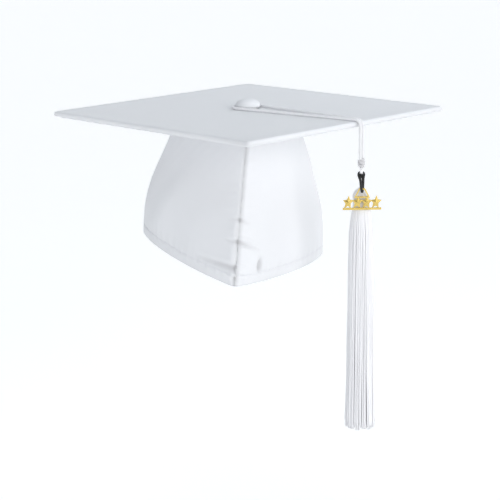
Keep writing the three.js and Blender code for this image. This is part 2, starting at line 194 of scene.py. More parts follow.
def frames_along(paths):
    """Tangents, normals and binormals that don't spin, for paths of shape (many, steps, 3)."""
    tangent = unit(np.gradient(paths, axis=1))
    normal = np.zeros_like(tangent)
    start = np.where(np.abs(tangent[:, :1, 2:]) < 0.9, [[[0, 0, 1.0]]], [[[1.0, 0, 0]]])[:, 0]
    for k in range(paths.shape[1]):
        along = tangent[:, k]
        start = unit(start - (start * along).sum(-1, keepdims=True) * along)
        normal[:, k] = start
    return tangent, normal, np.cross(tangent, normal)


def tubes_object(name, paths, radius, sides, lobes=0, lobe_depth=0.0):
    """Round tubes along paths, (many, steps, 3). radius is a number or (many, steps).

    lobes twist round the tube once for each PLY_PITCH, as the plies of a cord do.
    """
    many, steps = paths.shape[:2]
    _, normal, binormal = frames_along(paths)
    run = np.linalg.norm(np.diff(paths, axis=1), axis=-1).cumsum(1)
    run = np.concatenate([np.zeros((many, 1)), run], 1)
    angle = np.arange(sides) * TAU / sides
    size = np.broadcast_to(radius, (many, steps))[:, :, None]
    if lobes:
        turn = run[:, :, None] / PLY_PITCH * TAU
        ridge = np.abs(np.cos((angle * lobes - turn) / 2))
        size = size * (1 - lobe_depth * (1 - ridge))
    ring = np.cos(angle)[:, None] * normal[:, :, None] + np.sin(angle)[:, None] * binormal[:, :, None]
    points = (paths[:, :, None] + size[..., None] * ring).reshape(-1, 3)

    tube, step, side = np.meshgrid(np.arange(many), np.arange(steps - 1), np.arange(sides), indexing="ij")
    tube, step, side = tube.ravel(), step.ravel(), side.ravel()
    corners = ((step, side), (step, side + 1), (step + 1, side + 1), (step + 1, side))
    quads = np.stack([(tube * steps + k) * sides + a % sides for k, a in corners], -1)
    quad_uvs = np.stack([np.stack([a / sides, run[tube, k]], -1) for k, a in corners], 1)
    caps = []
    for first in range(0, many * steps * sides, steps * sides):
        last = first + (steps - 1) * sides
        caps.append([first + k for k in range(sides)][::-1])
        caps.append([last + k for k in range(sides)])
    cap_uvs = [np.zeros((sides, 2))] * len(caps)
    return add_object(name, points, quads.tolist() + caps, list(quad_uvs) + cap_uvs)


def add_modifier(obj, kind, **settings):
    modifier = obj.modifiers.new(kind.lower(), kind)
    for key, value in settings.items():
        setattr(modifier, key, value)


def solidify(obj, thickness):
    """Gives a sheet its thickness, inwards."""
    add_modifier(obj, "SOLIDIFY", thickness=thickness, offset=-1, use_even_offset=False)


def arc(cx, cz, radius, start, end, steps):
    angles = np.radians(np.linspace(start, end, steps))
    return [(cx + radius * math.cos(a), cz + radius * math.sin(a)) for a in angles]


NOISE_WAVES = 7
NOISE_OCTAVES = 2
NOISE_FALL = 1.9  # how much shorter and lower the second octave's waves are
NOISE_PEAK = 3.5


def smooth_noise(points, wavelength):
    """A soft pattern over 3-D points: crossed sine waves of random directions and phases."""
    value = np.zeros(points.shape[:-1])
    for octave in range(NOISE_OCTAVES):
        fall = NOISE_FALL**octave
        for _ in range(NOISE_WAVES):
            direction = rng.normal(size=3)
            direction *= TAU / (wavelength / fall) / np.linalg.norm(direction)
            value += np.sin(points @ direction + rng.uniform(0, TAU)) / fall
    return value / NOISE_PEAK


def window(distance, reach):
    """0 at an edge, rising to 1 at this reach from it."""
    t = np.clip(distance / reach, 0, 1)
    return t * t * (3 - 2 * t)


def fade(distance, reach):
    """1 at an edge, dying away over this reach."""
    return np.exp(-distance / reach)


def bell(distance, reach):
    """1 on a line, dying away smoothly on both sides of it."""
    return np.exp(-((distance / reach) ** 2))


# ---- Materials ----
def link(tree, kind, inputs=None, **settings):
    """A new node, its inputs linked to other nodes' sockets or set to values."""
    node = tree.nodes.new(kind)
    for key, value in settings.items():
        setattr(node, key, value)
    for key, value in (inputs or {}).items():
        if isinstance(value, bpy.types.NodeSocket):
            tree.links.new(value, node.inputs[key])
        else:
            node.inputs[key].default_value = value
    return node


def start_material(name, roughness, metallic=0.0, specular=0.5, sheen=0.0, sheen_roughness=0.5):
    mat = bpy.data.materials.new(name)
    mat.use_nodes = True
    tree = mat.node_tree
    shader = tree.nodes["Principled BSDF"]
    values = {
        "Roughness": roughness,
        "Metallic": metallic,
        "Specular IOR Level": specular,
        "Sheen Weight": sheen,
        "Sheen Roughness": sheen_roughness,
    }
    for socket, value in values.items():
        shader.inputs[socket].default_value = value
    return mat, tree, shader


def math_node(tree, operation, a, b=0.0, c=0.0, clamp=False):
    inputs = {0: a, 1: b, 2: c}
    return link(tree, "ShaderNodeMath", inputs, operation=operation, use_clamp=clamp).outputs[0]


def times(tree, a, b, clamp=False):
    return math_node(tree, "MULTIPLY", a, b, clamp=clamp)


def wave(tree, value, pitch):
    """0 to 1 and back once for each pitch."""
    turns = times(tree, value, TAU / pitch)
    return math_node(tree, "MULTIPLY_ADD", math_node(tree, "SINE", turns), 0.5, 0.5)


def falling(tree, value, low, high, top):
    """top below low, and smoothly down to 0 at high."""
    inputs = {"Value": value, "From Min": low, "From Max": high, "To Min": top, "To Max": 0.0}
    return link(tree, "ShaderNodeMapRange", inputs, interpolation_type="SMOOTHSTEP").outputs[0]


def cloth_space(tree):
    """The metres across and along a cloth or thread: both together, and each alone."""
    uv = link(tree, "ShaderNodeUVMap", uv_map=UV_NAME).outputs[0]
    split = link(tree, "ShaderNodeSeparateXYZ", {"Vector": uv})
    return uv, split.outputs[0], split.outputs[1]


def object_space(tree):
    return link(tree, "ShaderNodeTexCoord").outputs["Object"]


def stretched(tree, vector, scale):
    return link(tree, "ShaderNodeMapping", {"Vector": vector, "Scale": scale}).outputs[0]


def noise(tree, vector, scale, detail=2.0, roughness=0.5):
    inputs = {"Vector": vector, "Scale": scale, "Detail": detail, "Roughness": roughness}
    return link(tree, "ShaderNodeTexNoise", inputs).outputs["Fac"]


def mix_colour(tree, factor, a, b):
    return link(tree, "ShaderNodeMix", {0: factor, 6: a, 7: b}, data_type="RGBA").outputs[2]


def bump(tree, height, distance, strength=1.0, normal=None):
    inputs = {"Height": height, "Distance": distance, "Strength": strength}
    if normal is not None:
        inputs["Normal"] = normal
    return link(tree, "ShaderNodeBump", inputs).outputs["Normal"]


def rgb(r, g, b):
    return (r, g, b, 1.0)


def grey(value):
    return rgb(value, value, value)


def paint(tree, shader, colour, normal):
    tree.links.new(colour, shader.inputs["Base Color"])
    tree.links.new(normal, shader.inputs["Normal"])


# Depths of relief are in metres, and the scales of noise in features per metre.
SATIN_PITCH = 0.42 * MM
WEFT_COARSER = 1.15
WEFT_LOWER = 0.85
THREAD_DEPTH = 0.12 * MM
SLUB_SCALE = (2600, 160, 1)
SLUB_DEPTH = 0.05 * MM
SLUB_TINT = 0.22
RUMPLE_SCALE = 34.0
RUMPLE_DEPTH = 1.1 * MM
GRIME_SCALE = 11.0
GRIME_TINT = 0.35
# The colour that worn cloth is darkened towards, which also serves as painted shade in seams and creases
SOIL_AND_SHADE_TINT = 0.5
SOIL_AND_SHADE = rgb(0.46, 0.455, 0.465)


def cloth_material(name, colour, shade, pitch=SATIN_PITCH, weave=0.35, roughness=0.5, sheen=0.3):
    """A fine woven cloth: threads both ways, slubs along them, soft rumples, and a little soiling that also
    serves as painted shade in seams and creases.
    """
    mat, tree, shader = start_material(name, roughness, specular=0.4, sheen=sheen, sheen_roughness=0.45)
    uv, across, along = cloth_space(tree)
    warp = wave(tree, across, pitch)
    weft = wave(tree, along, WEFT_COARSER * pitch)
    threads = math_node(tree, "MAXIMUM", warp, times(tree, weft, WEFT_LOWER))
    slubs = noise(tree, stretched(tree, uv, SLUB_SCALE), 1.0, 3.0, 0.6)
    place = object_space(tree)
    rumple = noise(tree, place, RUMPLE_SCALE, 3.0, 0.5)
    grime = noise(tree, place, GRIME_SCALE, 4.0, 0.6)
    broad = bump(tree, rumple, RUMPLE_DEPTH, 0.35)
    slubbed = bump(tree, slubs, SLUB_DEPTH, 0.5, broad)
    woven = bump(tree, threads, THREAD_DEPTH, weave, slubbed)
    mottled = mix_colour(tree, times(tree, grime, GRIME_TINT, clamp=True), colour, shade)
    threaded = mix_colour(tree, times(tree, slubs, SLUB_TINT, clamp=True), mottled, shade)
    # Darkened by the per-point attribute, mottled by the grime noise: real soiling where the cloth is worn,
    # and painted shade in seams and creases
    darkening = link(tree, "ShaderNodeAttribute", attribute_name=WEAR_AND_SHADE_NAME).outputs["Fac"]
    soiled_and_shaded = times(tree, darkening, times(tree, grime, SOIL_AND_SHADE_TINT), clamp=True)
    paint(tree, shader, mix_colour(tree, soiled_and_shaded, threaded, SOIL_AND_SHADE), woven)
    return mat


RIB_PITCH = 1.1 * MM
KNIT_PITCH = 0.7 * MM
KNIT_HEIGHT = 0.4  # of a rib's
RIB_DEPTH = 0.25 * MM
ELASTIC_MOTTLE_SCALE = 60.0


def elastic_material(name, colour, shade):
    """Ribbed and knitted, with painted shade in the lines between the ribs."""
    mat, tree, shader = start_material(name, 0.75, specular=0.3, sheen=0.2)
    _, across, along = cloth_space(tree)
    ribs = wave(tree, along, RIB_PITCH)
    height = math_node(tree, "MULTIPLY_ADD", wave(tree, across, KNIT_PITCH), KNIT_HEIGHT, ribs)
    mottle = noise(tree, object_space(tree), ELASTIC_MOTTLE_SCALE)
    tint = mix_colour(tree, times(tree, mottle, 0.5), colour, shade)
    # Painted shade: darker in the hollows between the ribs
    rib_shaded = mix_colour(tree, times(tree, ribs, 0.12), shade, tint)
    paint(tree, shader, mix_colour(tree, 0.75, rib_shaded, tint), bump(tree, height, RIB_DEPTH, 0.8))
    return mat


FIBRE_PITCH = 0.31  # of a ply's
FIBRE_HEIGHT = 0.12  # of a ply's
PLY_DEPTH = 0.16 * MM
PLY_ROUNDNESS = 0.6
LOCK_SCALE = (700, 700, 25)
LOCK_TINT = 0.35


def yarn_material(name, colour, groove_shade, pitch, plies=2, roughness=0.42, sheen=0.35, dark_ends=None):
    """Twisted rayon: slanting plies with painted shade in the grooves between them, and a silky run of light
    along them.

    The argument for darker ends is (the yarn's length, how far from its ends it is darker, the colour there).
    """
    mat, tree, shader = start_material(name, roughness, specular=0.5, sheen=sheen, sheen_roughness=0.35)
    _, around_it, run = cloth_space(tree)
    along = times(tree, run, 1 / pitch)
    slant = math_node(tree, "SUBTRACT", times(tree, around_it, float(plies)), along)
    back_slant = math_node(tree, "ADD", slant, times(tree, along, -2.0))
    ply = math_node(tree, "POWER", wave(tree, slant, 1.0), PLY_ROUNDNESS)
    fibres = wave(tree, back_slant, FIBRE_PITCH)
    height = math_node(tree, "MULTIPLY_ADD", fibres, FIBRE_HEIGHT, ply)
    locks = noise(tree, stretched(tree, object_space(tree), LOCK_SCALE), 1.0, 2.0)
    # Painted shade: the grooves between the plies take the darker colour
    groove_shaded = mix_colour(tree, ply, groove_shade, colour)
    varied = mix_colour(tree, times(tree, locks, LOCK_TINT), groove_shaded, groove_shade)
    if dark_ends is not None:
        length, reach, tint = dark_ends
        from_end = math_node(tree, "PINGPONG", run, length / 2)
        varied = mix_colour(tree, falling(tree, from_end, reach, 1.4 * reach, 1.0), varied, tint)
    paint(tree, shader, varied, bump(tree, height, PLY_DEPTH, 0.7))
    return mat


GILT_DARK, GILT_LIGHT = rgb(0.62, 0.43, 0.09), rgb(0.90, 0.69, 0.25)
GILT_WEAR_SCALE = 260.0
GILT_CAST_SCALE = 900.0
GILT_CAST_DEPTH = 0.05 * MM
GILT_SMOOTHEST = 0.14
GILT_ROUGHER = 0.22


def gold_material(name):
    """Thin gilding on a casting: worn darker and rougher in patches."""
    mat, tree, shader = start_material(name, 0.24, metallic=1.0)
    place = object_space(tree)
    wear = noise(tree, place, GILT_WEAR_SCALE, 5.0, 0.65)
    rough = math_node(tree, "MULTIPLY_ADD", wear, GILT_ROUGHER, GILT_SMOOTHEST)
    tree.links.new(rough, shader.inputs["Roughness"])
    cast = noise(tree, place, GILT_CAST_SCALE, 2.0)
    paint(tree, shader, mix_colour(tree, wear, GILT_DARK, GILT_LIGHT), bump(tree, cast, GILT_CAST_DEPTH, 0.5))
    return mat


def plain_material(name, dark, light, scale, roughness, metallic=0.0, grain=0.1 * MM, stretch=(1, 1, 1)):
    """Card, moulded plastic, buckram or brushed metal, by the scale and stretch of its grain."""
    mat, tree, shader = start_material(name, roughness, metallic=metallic, specular=0.4)
    pattern = noise(tree, stretched(tree, object_space(tree), stretch), scale, 5.0, 0.6)
    paint(tree, shader, mix_colour(tree, pattern, dark, light), bump(tree, pattern, grain, 0.6))
    return mat


# Each yarn's own colour, then the painted shade laid into the grooves between its plies
CORD_COLOURS = (rgb(0.93, 0.925, 0.935), rgb(0.84, 0.83, 0.85))
# The cord's colour near its ends, darker than the rest
DARK_END_CORD = rgb(0.76, 0.755, 0.765)
# The knot is the same cord, painted darker all over for the shade between its wraps; its second colour is
# painted shade in the grooves
SHADED_KNOT_COLOURS = (rgb(0.70, 0.69, 0.70), rgb(0.48, 0.47, 0.48))
FRINGE_COLOURS = (rgb(0.885, 0.88, 0.89), rgb(0.83, 0.82, 0.84))
BLACK_COLOURS = (rgb(0.012, 0.011, 0.010), grey(0.003))
THREAD_COLOURS = (rgb(0.88, 0.88, 0.91), rgb(0.6, 0.6, 0.66))
BUCKRAM_COLOURS = (rgb(0.80, 0.79, 0.76), rgb(0.66, 0.64, 0.60))
STEEL_COLOURS = (rgb(0.42, 0.43, 0.46), rgb(0.66, 0.67, 0.70))

SATIN = cloth_material("satin", rgb(0.785, 0.79, 0.805), rgb(0.71, 0.715, 0.74))
UNDER_SATIN = cloth_material("under_satin", rgb(0.80, 0.805, 0.82), rgb(0.70, 0.705, 0.73))
BUCKRAM = cloth_material(
    "buckram_lining", *BUCKRAM_COLOURS, pitch=0.9 * MM, weave=0.9, roughness=0.85, sheen=0.1
)
ELASTIC = elastic_material("elastic", rgb(0.86, 0.86, 0.87), rgb(0.70, 0.70, 0.72))
CORD_YARN = yarn_material("cord_yarn", *CORD_COLOURS, pitch=YARN_PITCH, plies=PLIES)
SHADED_KNOT_YARN = yarn_material("shaded_knot_yarn", *SHADED_KNOT_COLOURS, pitch=YARN_PITCH, plies=PLIES)
FRINGE_YARN = yarn_material("fringe_yarn", *FRINGE_COLOURS, pitch=1.5 * MM)
BLACK_YARN = yarn_material("black_elastic", *BLACK_COLOURS, pitch=0.8 * MM, plies=6, roughness=0.6, sheen=0.1)
THREAD = yarn_material("sewing_thread", *THREAD_COLOURS, pitch=0.6 * MM)
GOLD = gold_material("gilt_charm")
CARD = plain_material("card", rgb(0.36, 0.29, 0.18), rgb(0.55, 0.46, 0.31), 400.0, 0.9)
PLASTIC = plain_material("moulded_plastic", grey(0.62), grey(0.76), 900.0, 0.45, grain=0.03 * MM)
STEEL = plain_material(
    "brushed_steel", *STEEL_COLOURS, 60.0, 0.35, metallic=1.0, grain=0.02 * MM, stretch=(40, 2, 2)
)
CROWN_CLOTH = plain_material("crown_cloth", rgb(0.72, 0.73, 0.78), rgb(0.86, 0.87, 0.90), 700.0, 0.6)
CROWN_BUCKRAM = plain_material(
    "crown_buckram", rgb(0.62, 0.60, 0.55), rgb(0.80, 0.78, 0.74), 520.0, 0.9, grain=0.3 * MM
)


def finish_piece(obj, material, slot, body=None, nodes=()):
    """Gives a piece its material, the nodes that it stands for and the body that it rides on. The slot is not
    used.
    """
    obj.data.materials.clear()
    obj.data.materials.append(material)
    if nodes:
        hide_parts(*nodes)
    if body:
        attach(obj, body)


# ---- The tassel's cord ----
def cord_frame(points):
    """From a frame with +X out over the board's edge to the model's own."""
    c, s = math.cos(CORD_ANGLE), math.sin(CORD_ANGLE)
    x, y, z = np.moveaxis(np.asarray(points, float), -1, 0)
    return np.stack([c * x - s * y, s * x + c * y, z], -1)


def run_along(line):
    """The distance along a line of points, at each of them."""
    return np.concatenate([[0], np.linalg.norm(np.diff(line, axis=0), axis=1).cumsum()])


def at_runs(at, run, values):
    """What the values along a line are at other distances along it."""
    return np.stack([np.interp(at, run, values[:, k]) for k in range(3)], -1)


def resample(points, spacing):
    run = run_along(points)
    return at_runs(np.linspace(0, run[-1], int(run[-1] / spacing) + 1), run, points)


def cord_route():
    """Up one strand from the knot, over the edge, round the back of the button and down again."""
    pivot_x = EDGE_REACH - BEND_R
    pivot_z = CORD_Z - BEND_R
    drop_levels = np.linspace(KNOT_HIGH - STRAND_IN_KNOT, pivot_z, 10)
    drop = [(EDGE_REACH, STRAND_SPLAY, z) for z in drop_levels]
    bend = [(x, STRAND_SPLAY, z) for x, z in arc(pivot_x, pivot_z, BEND_R, 0, 90, 12)[1:]]
    tangent = math.acos((LOOP_R - STRAND_SPLAY) / pivot_x)
    leave = np.array([LOOP_R * math.cos(tangent), LOOP_R * math.sin(tangent), CORD_Z])
    start = np.array([pivot_x, STRAND_SPLAY, CORD_Z])
    straight = [start + (leave - start) * share for share in np.linspace(0, 1, 30)[1:-1]]
    turn_angles = np.linspace(tangent, TAU - tangent, 60)
    turn = [(LOOP_R * math.cos(a), LOOP_R * math.sin(a), CORD_Z) for a in turn_angles]
    side = np.array(drop + bend + [tuple(p) for p in straight])
    back = side[::-1] * np.array([1, -1, 1])
    return resample(np.concatenate([side, turn, back]), 0.5 * MM)


def cord():
    route = cord_frame(cord_route())
    length = float(run_along(route)[-1])
    obj = tubes_object("tassel_cord", route[None], CORD_R * CORD_SWELL, 18, PLIES, 0.1)
    # The cord is darker towards its ends by the knot
    darkening = (length, DARK_END_REACH, DARK_END_CORD)
    yarn = yarn_material("tassel_cord_yarn", *CORD_COLOURS, pitch=YARN_PITCH, plies=PLIES, dark_ends=darkening)
    nodes = ["loop_over_board", "loop_bend_left", "loop_bend_right", "loop_drop_left", "loop_drop_right"]
    finish_piece(obj, yarn, "rayon_yarn", nodes=nodes)
    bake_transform(obj)


# ---- The board ----
SIDE_STEPS = 44
CORNER_STEPS = 7


def square_ring(half, radius):
    """A rounded square's outline, anticlockwise, with the same count of points at any size."""
    radius = min(radius, half)
    points = []
    for quarter in range(4):
        spin = math.radians(quarter * 90)
        corner = arc(half - radius, half - radius, radius, 0, 90, CORNER_STEPS)
        edge = [(half, y) for y in np.linspace(-(half - radius), half - radius, SIDE_STEPS + 1)[:-1]]
        c, s = round(math.cos(spin)), round(math.sin(spin))
        points += [(c * x - s * y, s * x + c * y) for x, y in edge + corner[:-1]]
    return np.array(points)


def nested_rings(half, radius, profile):
    """A square sheet as a grid of rings, each at its inset from the edge and its level."""
    outer = square_ring(half, radius)
    rings = [np.column_stack([outer * (half - inset) / half, np.full(len(outer), z)]) for inset, z in profile]
    return np.stack(rings, 1)


def corner_forward(points):
    """Turns a square grid's points so that a corner of it is in front."""
    c, s = math.cos(CORNER_TURN), math.sin(CORNER_TURN)
    x, y = points[..., 0].copy(), points[..., 1].copy()
    points[..., 0], points[..., 1] = c * x - s * y, s * x + c * y


BOARD_EDGE_R = 2.05 * MM
BOARD_CORNER_R = 3.4 * MM
BOARD_SKIN = 0.7 * MM
# From the middle of the board's top to its edge, then under it to the cloth's raw edge.
TOP_SHARES = (0.02, 0.08, 0.2, 0.33, 0.46, 0.58, 0.69, 0.78, 0.85)
TOP_INSETS = np.array([14, 11, 8.5, 6.5, 5, 3.8, 2.9]) * MM
TURNED_INSETS = np.array([3, 4.5, 6.5, 9, 12, 15, 18, 20]) * MM
EDGE_FACE = 2.5 * MM  # how far below the top the cloth counts as turned under
BOARD_PUCKERS = ((13, 0.10), (21, 0.13), (37, 0.14), (8.5, 0.06))  # wavelengths and heights, in mm
MITRE_REACH = 4 * MM
MITRE_HEIGHT = 0.35


def board_cloth():
    """The board's cloth: drawn over the edges and turned in under them, mitred at the corners."""
    half = BOARD_SIDE / 2
    profile = [(half * (1 - share), BOARD_TOP) for share in TOP_SHARES]
    profile += [(inset, BOARD_TOP) for inset in TOP_INSETS]
    for level, turn in ((BOARD_TOP - BOARD_EDGE_R, (90, 0)), (BOARD_LOW + BOARD_EDGE_R, (0, -90))):
        profile += [(BOARD_EDGE_R - x, z) for x, z in arc(0, level, BOARD_EDGE_R, *turn, 7)]
    profile += [(inset, BOARD_LOW) for inset in TURNED_INSETS]
    points = nested_rings(half, BOARD_CORNER_R, profile)
    inset, level = np.array(profile).T[:, None, :]
    under = level < BOARD_TOP - EDGE_FACE
    run = np.linspace(0, 4 * BOARD_SIDE, len(points), endpoint=False)[:, None]
    near_edge = fade(inset, 9 * MM) * (0.2 + 0.8 * window(inset, 6 * MM))
    pucker = sum(
        np.sin(run / (wavelength * MM) * TAU + rng.uniform(0, TAU)) * height
        for wavelength, height in BOARD_PUCKERS
    )
    soft = smooth_noise(points, 0.085) * 0.16
    corner_gap = np.abs(np.abs(points[..., 0]) - np.abs(points[..., 1]))
    mitre = bell(corner_gap, MITRE_REACH) * MITRE_HEIGHT
    lift = pucker * near_edge + soft * window(inset, 0.03) * ~under
    lift = lift + np.where(under, mitre, 0)
    points = points + normals_of(points, wrap=True) * (lift * MM)[..., None]
    depth = np.where(under, (BOARD_TOP - points[..., 2]) + inset, 0)
    uv = points[..., :2] + unit(points[..., :2]) * depth[..., None]
    corner_forward(points)
    wear = fade(inset, 3.5 * MM) * (0.3 + 0.4 * fade(corner_gap, 16 * MM))
    obj = grid_object("board_cloth", points, uv, wrap=True, wear=wear)
    solidify(obj, BOARD_SKIN)
    finish_piece(obj, SATIN, "satin_cloth", "cap", ["board_top_cover"])


UNDER_MARGIN = 4.2 * MM
UNDER_CORNER_R = 3 * MM
UNDER_SKIN = 0.6 * MM
UNDER_INSETS = np.array([0, 0.25, 0.6, 1.2, 2, 3, 3.6, 4.4, 6, 9, 14, 22, 34, 50, 70, 95, 112]) * MM
STITCH_ROW = 5  # of those insets, where the thread runs


def under_cloth():
    """The cloth under the board, its edges folded in and stitched down over the turned-in top cloth."""
    half = BOARD_SIDE / 2 - UNDER_MARGIN
    insets = UNDER_INSETS[None, :]
    points = nested_rings(half, UNDER_CORNER_R, [(inset, UNDER_LOW) for inset in UNDER_INSETS])
    run = np.linspace(0, 8 * half, len(points), endpoint=False)[:, None]
    stitch_line = bell(insets - UNDER_INSETS[STITCH_ROW], 0.5 * MM)
    fold = 0.45 * (1 - np.clip(insets / (0.6 * MM), 0, 1)) - 0.22 * (1 - window(insets, 4 * MM))
    bag = 0.2 * smooth_noise(points, 0.06) * window(insets, 0.02)
    ripple = 0.12 * np.sin(run / (6.5 * MM) * TAU) * fade(insets, 6 * MM)
    points[..., 2] += (fold + 0.18 * stitch_line + bag + ripple) * MM
    uv = points[..., :2].copy()
    corner_forward(points)
    obj = grid_object("under_cloth", points, uv, wrap=True)
    solidify(obj, UNDER_SKIN)
    finish_piece(obj, UNDER_SATIN, "satin_cloth", "cap", ["board_under_cover"])
    line = np.concatenate([points[:, STITCH_ROW], points[:1, STITCH_ROW]])
    stitches("under_stitches", line, np.broadcast_to([0, 0, -1.0], line.shape))


STITCH_GAP = 3.3 * MM
STITCH_LENGTH = 2.4 * MM
STITCH_R = 0.2 * MM
STITCH_SHARES = np.array([0, 0.08, 0.3, 0.7, 0.92, 1.0])
STITCH_HEIGHTS = np.array([-0.4, 0.4, 0.75, 0.75, 0.4, -0.4]) * STITCH_R


def stitches(name, line, normal):
    """A row of thread stitches along a line of points that lies on a cloth."""
    run = run_along(line)
    starts = np.arange(STITCH_GAP, run[-1] - STITCH_GAP, STITCH_GAP)
    at = starts[:, None] + STITCH_SHARES[None, :] * STITCH_LENGTH
    path = at_runs(at, run, line) + unit(at_runs(at, run, normal)) * STITCH_HEIGHTS[None, :, None]
    obj = tubes_object(name, path, STITCH_R, 6)
    finish_piece(obj, THREAD, "satin_cloth", "cap")


# ---- The skull cap, on the CAD model's formula, in millimetres ----
SIDE_DEPTH = 112
FRONT_DROP = 16.2
RIM_TILT = 0.133
TOP_HALF = 52.5
FLARE = 25.5
FLARE_LEVEL = 0.88
FLARE_POWER = 1.35
LENGTH_RATIO = 1.16
OFFSET_TOP = 9.4
OFFSET_MORE = 5.1
RIDGE_LEAN = 13.3
FOLD_INSET = 1.3
WIDEST_Y = 4
FRONT_BOW = (1.82, 1.34)
BACK_BOW = (1.2, 1.0)
MIDDLE_LEVEL = 0.6
PANEL_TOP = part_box("skull_panel_left")[1].z / MM


def half_width(level):
    return TOP_HALF + FLARE * np.sin(np.pi / 2 * np.minimum(1, level / FLARE_LEVEL)) ** FLARE_POWER


def plan_point(turn, level, inset):
    """turn runs anticlockwise seen from above: 0 the front seam, 0.5 left, 1 the back seam, 1.5 right."""
    turned = np.mod(turn, 2)
    side = np.where(turned < 1, 1, -1)
    from_front = np.where(turned < 1, turned, 2 - turned)
    front = from_front < 0.5
    swing = np.where(front, from_front, 1 - from_front) * np.pi
    across = np.where(front, FRONT_BOW[0], BACK_BOW[0])
    along = np.where(front, FRONT_BOW[1], BACK_BOW[1])
    ridge_x = -RIDGE_LEAN * level
    middle_x = -OFFSET_TOP - OFFSET_MORE * level
    reach = side * (middle_x - ridge_x) + half_width(level) - inset
    length = LENGTH_RATIO * half_width(level) - FOLD_INSET * inset
    x = ridge_x + side * reach * np.abs(np.sin(swing)) ** across
    y = WIDEST_Y + np.where(front, -1, 1) * length * np.abs(np.cos(swing)) ** along
    return x, y


def skull_point(turn, level, inset, push=0.0):
    turn, level = np.broadcast_arrays(turn, level)
    x, y = plan_point(turn, level, inset)
    rim_x, rim_y = plan_point(turn, np.ones_like(level, float), 0)
    drop = FRONT_DROP * np.maximum(0, (WIDEST_Y - rim_y) / (LENGTH_RATIO * half_width(1)))
    rim = UNDER_LOW / MM - SIDE_DEPTH - drop - RIM_TILT * (rim_x + OFFSET_TOP)
    return np.stack([x + push, y, PANEL_TOP + level * (rim - PANEL_TOP)], -1) * MM


def even_turns(first, last, count):
    """Turns that lie evenly along the skull cap's side, at the level of its middle."""
    fine = np.linspace(first, last, 2000)
    run = run_along(skull_point(fine, np.full_like(fine, MIDDLE_LEVEL), 0))
    return np.interp(np.linspace(0, run[-1], count), run, fine)


def runs(points, axis):
    """The distances along one axis of a grid of points."""
    step = np.linalg.norm(np.diff(points, axis=axis), axis=-1)
    pad = [(0, 0), (0, 0)]
    pad[axis] = (1, 0)
    return np.pad(np.cumsum(step, axis=axis), pad)


HEM_STITCH = 8 * MM
PANEL_SKIN = 0.75 * MM
PANEL_PROUD = 0.3  # how deep in the CAD panel the cloth's own surface lies, in mm
PANEL_APART = 0.12  # how far each half stands out from the seams, in mm
SEAM_MARGIN = 0.0005  # of a turn
SEAM_REACH = 7.5 * MM
DEEPEST = 1.7  # no groove is deeper than this, in mm


def panel_cloth(side, first, outward):
    """Half of the skull cap: seams front and back, gathered at the crown, hemmed at the rim.

    Lifts are in mm, and everything else in metres.
    """
    turns = even_turns(first + SEAM_MARGIN, first + 1 - SEAM_MARGIN, 200)
    levels = np.concatenate([np.linspace(0, 0.9, 84)[:-1], np.linspace(0.9, 1, 26)])
    points = skull_point(turns[:, None], levels[None, :], PANEL_PROUD, outward * PANEL_APART)
    across = runs(points, 0)
    down = runs(points, 1)
    width, depth = across[-1:], down[:, -1:]
    front_gap, back_gap = (across, width - across) if side == "left" else (width - across, across)
    rim_gap = depth - down

    def ripple(along, wavelength, gap, reach, height):
        wander = 0.35 * smooth_noise(points, 3.2 * wavelength)
        return height * np.sin(TAU * along / wavelength + 3 * wander) * fade(gap, reach)

    free = window(front_gap, 0.018) * window(back_gap, 0.018) * window(rim_gap, 0.025) * window(down, 0.02)
    lift = 0.7 * smooth_noise(points, 0.075) * free
    upright = np.sin(TAU * across / 0.041 + 1.2 * smooth_noise(points, 0.12))
    lift += 0.25 * upright * window(front_gap, 0.03) * window(rim_gap, 0.05) * window(down, 0.01)
    lift += ripple(across, 0.0105, down, 0.012, 0.5)
    lift += ripple(down, 0.0092, front_gap, SEAM_REACH, 0.3)
    lift += ripple(down, 0.0104, back_gap, SEAM_REACH, 0.4)
    lift += ripple(across, 0.0078, np.abs(rim_gap - HEM_STITCH), 0.006, 0.25)
    lift += 0.25 * (1 - window(rim_gap - 0.6 * HEM_STITCH, 0.4 * HEM_STITCH))
    lift -= 0.3 * bell(rim_gap - HEM_STITCH, 0.8 * MM)
    lift -= 1.9 * bell(front_gap, 1.7 * MM) + 1.4 * bell(back_gap, 1.3 * MM)
    creases = front_creases(side, front_gap, rim_gap)
    lift += creases
    lift = np.where(lift < 0, DEEPEST * np.tanh(lift / DEEPEST), lift)
    points = points + normals_of(points) * (lift * MM)[..., None]
    uv = np.stack([across, down], -1)
    # Real wear along the hem, and painted shade: a darker band along the front seam
    wear = 0.6 * fade(rim_gap, 4 * MM) + 1.9 * bell(front_gap, 2.2 * MM)
    # Painted shade in the creases, darker as they sink deeper
    wear += 1.3 * np.clip(-creases, 0, 2.5)
    obj = grid_object("skull_cloth_" + side, points, uv, wear=wear)
    solidify(obj, PANEL_SKIN)
    finish_piece(obj, SATIN, "satin_cloth", "cap", ["skull_panel_" + side])
    row = int(np.argmin(np.abs(rim_gap.mean(0) - HEM_STITCH)))
    stitches("hem_stitches_" + side, points[:, row], normals_of(points)[:, row])


# Places are in mm from the front seam and up from the rim, and sizes and heights in mm.
SEAM_GAPS = [((0, up), (2.8, 2.3), -1.5) for up in (55, 37, 15, 6)]
# (place, size across and up, height)
PUFFS = {
    "left": [((10, 23), (9, 9), 2.3), ((19, 12), (12, 9), 1.9), ((24, 14), (3.0, 5.8), -5.4)],
    "right": [((5, 45), (5, 6), 1.0), ((5, 26), (6, 7), 1.2)],
}
